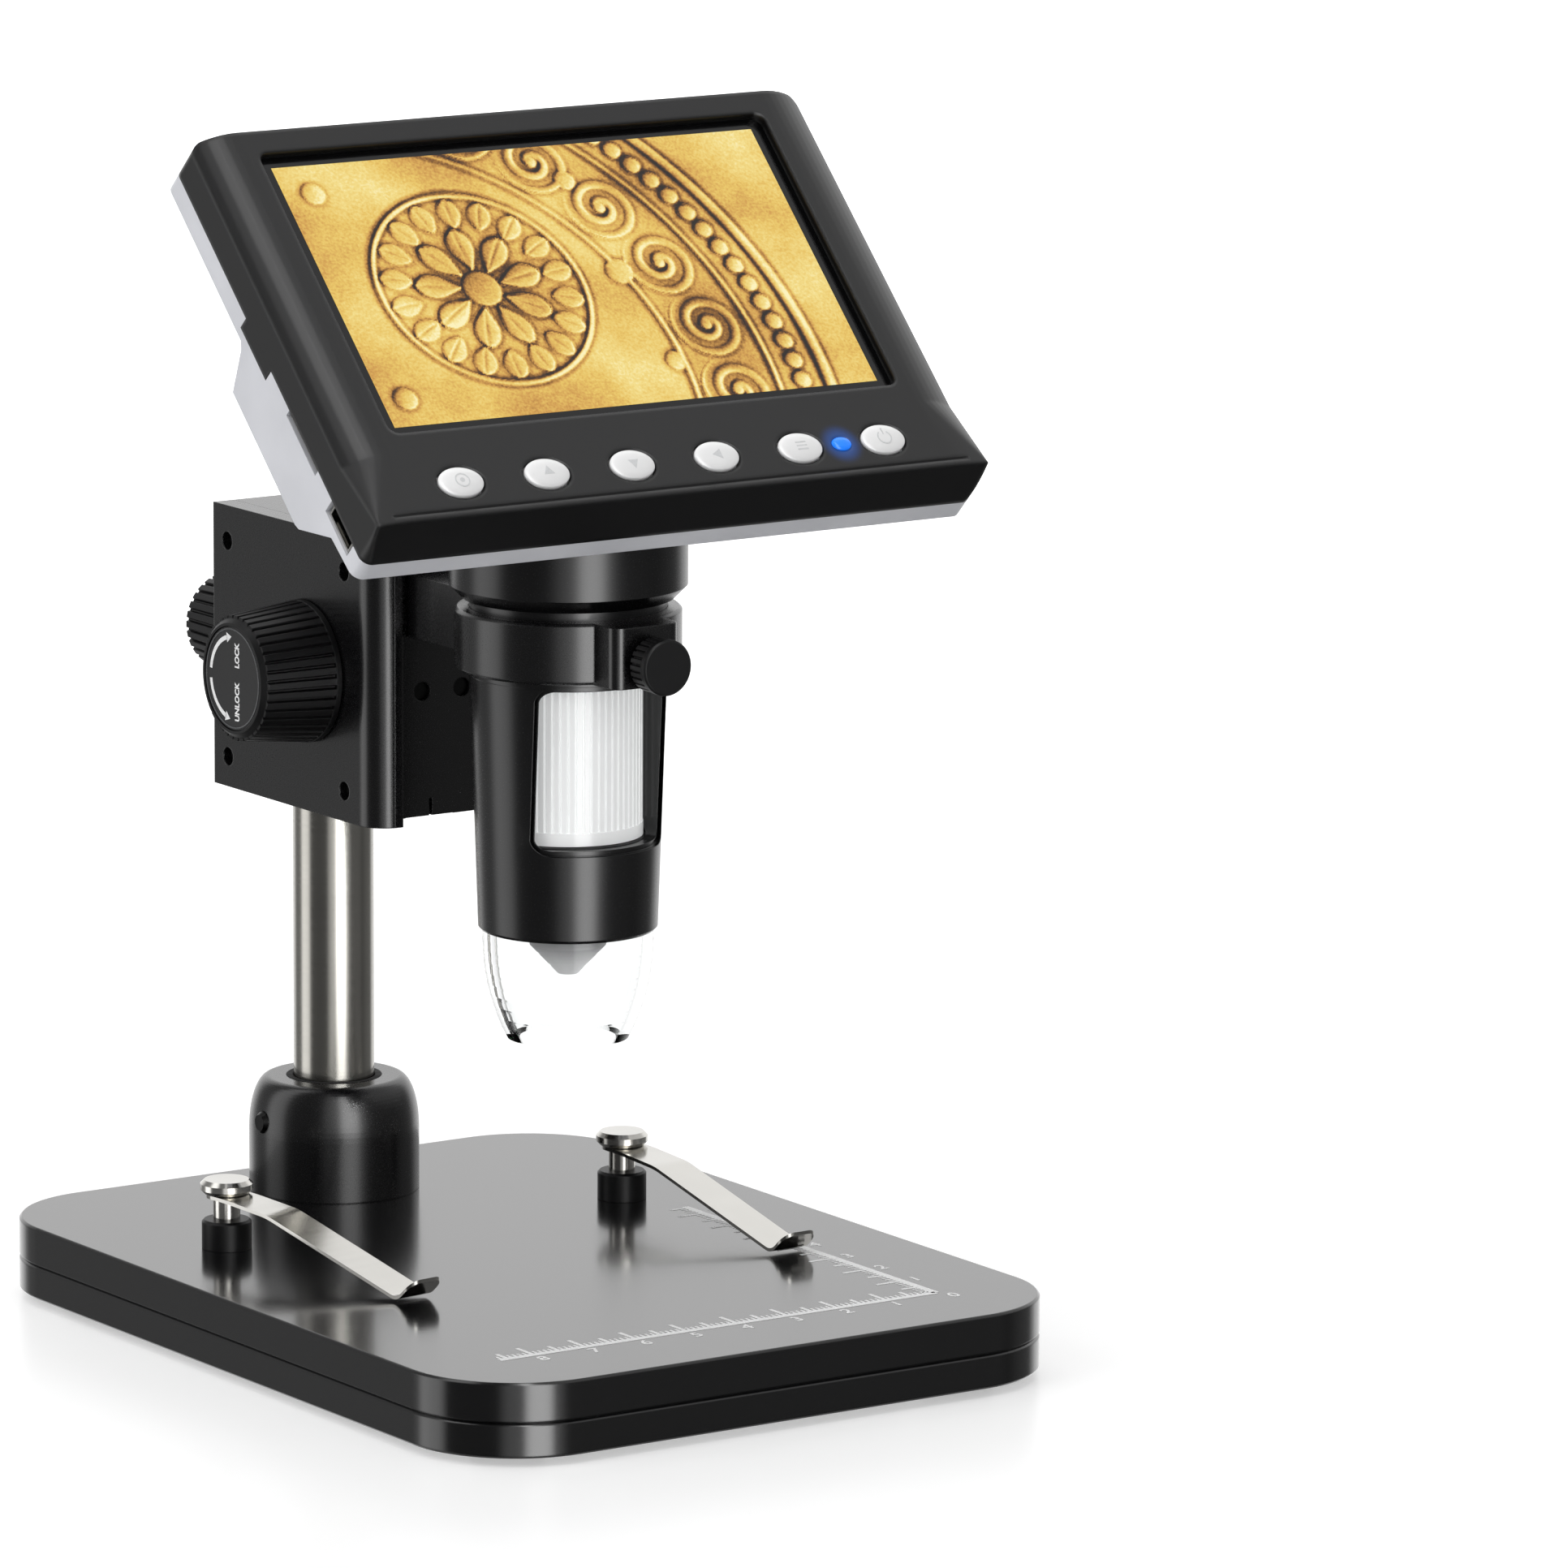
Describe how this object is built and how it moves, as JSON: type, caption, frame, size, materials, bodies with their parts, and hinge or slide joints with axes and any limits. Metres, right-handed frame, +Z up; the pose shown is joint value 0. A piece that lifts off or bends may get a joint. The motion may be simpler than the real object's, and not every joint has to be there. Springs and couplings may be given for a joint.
{
  "type": "lcd digital microscope",
  "caption": "Bench microscope with a slanted screen, a camera barrel with clear hood, a rack slide on a steel post, and a flat stage with two leaf clips.",
  "frame": {"origin": "on the ground, under the middle of the whole object's box", "axes": "+Z up, +X to the right of the person at the screen, +Y back towards the post"},
  "size_m": [0.1204, 0.1766, 0.2083],
  "materials": {
    "black_plate": "satin",
    "black_alloy": "satin black anodised",
    "polished_steel": "polished",
    "dark_steel": "blackened",
    "black_rubber": "matte",
    "natural_nylon": "matte",
    "black_plastic": "matte",
    "bezel_plastic": "satin gloss",
    "white_plastic": "satin",
    "button_plastic": "gloss",
    "clear_plastic": "clear",
    "frosted_plastic": "translucent gloss",
    "grey_plastic": "matte",
    "brass": "machined",
    "board_green": "satin",
    "battery_foil": "foil",
    "screen_glass": "gloss",
    "panel_metal": "sheet",
    "lens_glass": "clear",
    "lamp_white": "gloss",
    "lamp_blue": "gloss"
  },
  "bodies": {
    "base": {"base_top_plate": "black_plate", "base_under_plate": "black_plate", "feet": "black_rubber", "base_screws": "polished_steel", "post_collar": "black_alloy", "collar_screw": "dark_steel", "post": "polished_steel", "post_bolt": "polished_steel", "clip_boss_left": "black_plastic", "clip_boss_right": "black_plastic", "clip_screw_left": "polished_steel", "clip_screw_right": "polished_steel"},
    "left_leaf": {"clip_leaf_left": "polished_steel"},
    "right_leaf": {"clip_leaf_right": "polished_steel"},
    "bush": {"post_bush": "natural_nylon"},
    "bracket": {"housing": "black_alloy", "side_cover": "black_alloy", "cover_screws": "dark_steel"},
    "clamp": {"clamp_knob": "black_plastic", "clamp_stud": "polished_steel"},
    "lock": {"lock_knob": "black_plastic", "lock_cap": "grey_plastic", "lock_stud": "polished_steel"},
    "drive": {"lift_knob": "black_plastic", "lift_cap": "grey_plastic", "pinion_shaft": "brass"},
    "slide": {"slide_block": "black_alloy", "rack": "brass", "slide_screws": "dark_steel", "holder_ring": "black_alloy"},
    "thumb": {"thumb_screw": "black_plastic"},
    "head": {"barrel_shell": "bezel_plastic", "wheel_seat": "black_plastic", "lamp_board": "board_green", "lamp_ring": "lamp_white", "lens_cone": "grey_plastic", "clear_hood": "clear_plastic", "sensor_board": "board_green", "neck": "bezel_plastic", "rear_shell": "white_plastic", "front_bezel": "bezel_plastic", "screen_glass": "screen_glass", "lcd_panel": "panel_metal", "main_board": "board_green", "battery": "battery_foil", "usb_jack": "polished_steel", "card_socket": "polished_steel", "power_lamp": "lamp_blue", "case_screws": "dark_steel"},
    "wheel": {"focus_wheel": "frosted_plastic"},
    "lens_carriage": {"lens_tube": "grey_plastic", "lens": "lens_glass"},
    "button_1": {"button_1": "button_plastic"},
    "button_2": {"button_2": "button_plastic"},
    "button_3": {"button_3": "button_plastic"},
    "button_4": {"button_4": "button_plastic"},
    "button_5": {"button_5": "button_plastic"},
    "button_6": {"button_6": "button_plastic"}
  },
  "joints": [
    {"name": "left_leaf_swing", "type": "hinge", "parent": "base", "child": "left_leaf", "pos_m": [-0.0401, 0.0227, 0.023], "axis": [0, 0, 1], "range_deg": [-30, 30]},
    {"name": "right_leaf_swing", "type": "hinge", "parent": "base", "child": "right_leaf", "pos_m": [0.0369, 0.0176, 0.023], "axis": [0, 0, 1], "range_deg": [-30, 30]},
    {"name": "height", "type": "slide", "parent": "base", "child": "bush", "axis": [0, 0, 1], "range_m": [-0.022, 0.02]},
    {"name": "swing", "type": "hinge", "parent": "bush", "child": "bracket", "pos_m": [0, 0.0527, 0.109], "axis": [0, 0, 1], "range_deg": [-90, 90]},
    {"name": "clamp_turn", "type": "hinge", "parent": "bracket", "child": "clamp", "pos_m": [0, 0.0807, 0.109], "axis": [0, 1, 0], "range_deg": [-180, 180]},
    {"name": "lock_turn", "type": "hinge", "parent": "bracket", "child": "lock", "pos_m": [-0.0225, 0.0372, 0.109], "axis": [1, 0, 0], "range_deg": [-90, 90]},
    {"name": "lift", "type": "slide", "parent": "bracket", "child": "slide", "axis": [0, 0, 1], "range_m": [-0.006, 0.008]},
    {"name": "drive_turn", "type": "hinge", "parent": "bracket", "child": "drive", "pos_m": [0.0225, 0.0372, 0.109], "axis": [1, 0, 0], "range_deg": [-96, 72]},
    {"name": "thumb_turn", "type": "hinge", "parent": "slide", "child": "thumb", "pos_m": [0, -0.0479, 0.12142], "axis": [0, 1, 0], "range_deg": [-180, 180]},
    {"name": "head_turn", "type": "hinge", "parent": "slide", "child": "head", "pos_m": [0, -0.0219, 0.12142], "axis": [0, 0, 1], "range_deg": [-90, 90]},
    {"name": "focus_turn", "type": "hinge", "parent": "head", "child": "wheel", "pos_m": [0, -0.0219, 0.102], "axis": [0, 0, 1], "range_deg": [-34, 170]},
    {"name": "lens_travel", "type": "slide", "parent": "head", "child": "lens_carriage", "axis": [0, 0, 1], "range_m": [-0.00094, 0.00474]},
    {"name": "press_1", "type": "slide", "parent": "head", "child": "button_1", "axis": [0, 0.7071, -0.7071], "range_m": [0, 0.0006], "stiffness_N_per_m": 800, "springref_m": -0.0006},
    {"name": "press_2", "type": "slide", "parent": "head", "child": "button_2", "axis": [0, 0.7071, -0.7071], "range_m": [0, 0.0006], "stiffness_N_per_m": 800, "springref_m": -0.0006},
    {"name": "press_3", "type": "slide", "parent": "head", "child": "button_3", "axis": [0, 0.7071, -0.7071], "range_m": [0, 0.0006], "stiffness_N_per_m": 800, "springref_m": -0.0006},
    {"name": "press_4", "type": "slide", "parent": "head", "child": "button_4", "axis": [0, 0.7071, -0.7071], "range_m": [0, 0.0006], "stiffness_N_per_m": 800, "springref_m": -0.0006},
    {"name": "press_5", "type": "slide", "parent": "head", "child": "button_5", "axis": [0, 0.7071, -0.7071], "range_m": [0, 0.0006], "stiffness_N_per_m": 800, "springref_m": -0.0006},
    {"name": "press_6", "type": "slide", "parent": "head", "child": "button_6", "axis": [0, 0.7071, -0.7071], "range_m": [0, 0.0006], "stiffness_N_per_m": 800, "springref_m": -0.0006}
  ],
  "couplings": [
    {"joint": "drive_turn", "follows": "lift", "rad_per_m": -208.33},
    {"joint": "focus_turn", "follows": "lens_travel", "rad_per_m": 625}
  ]
}
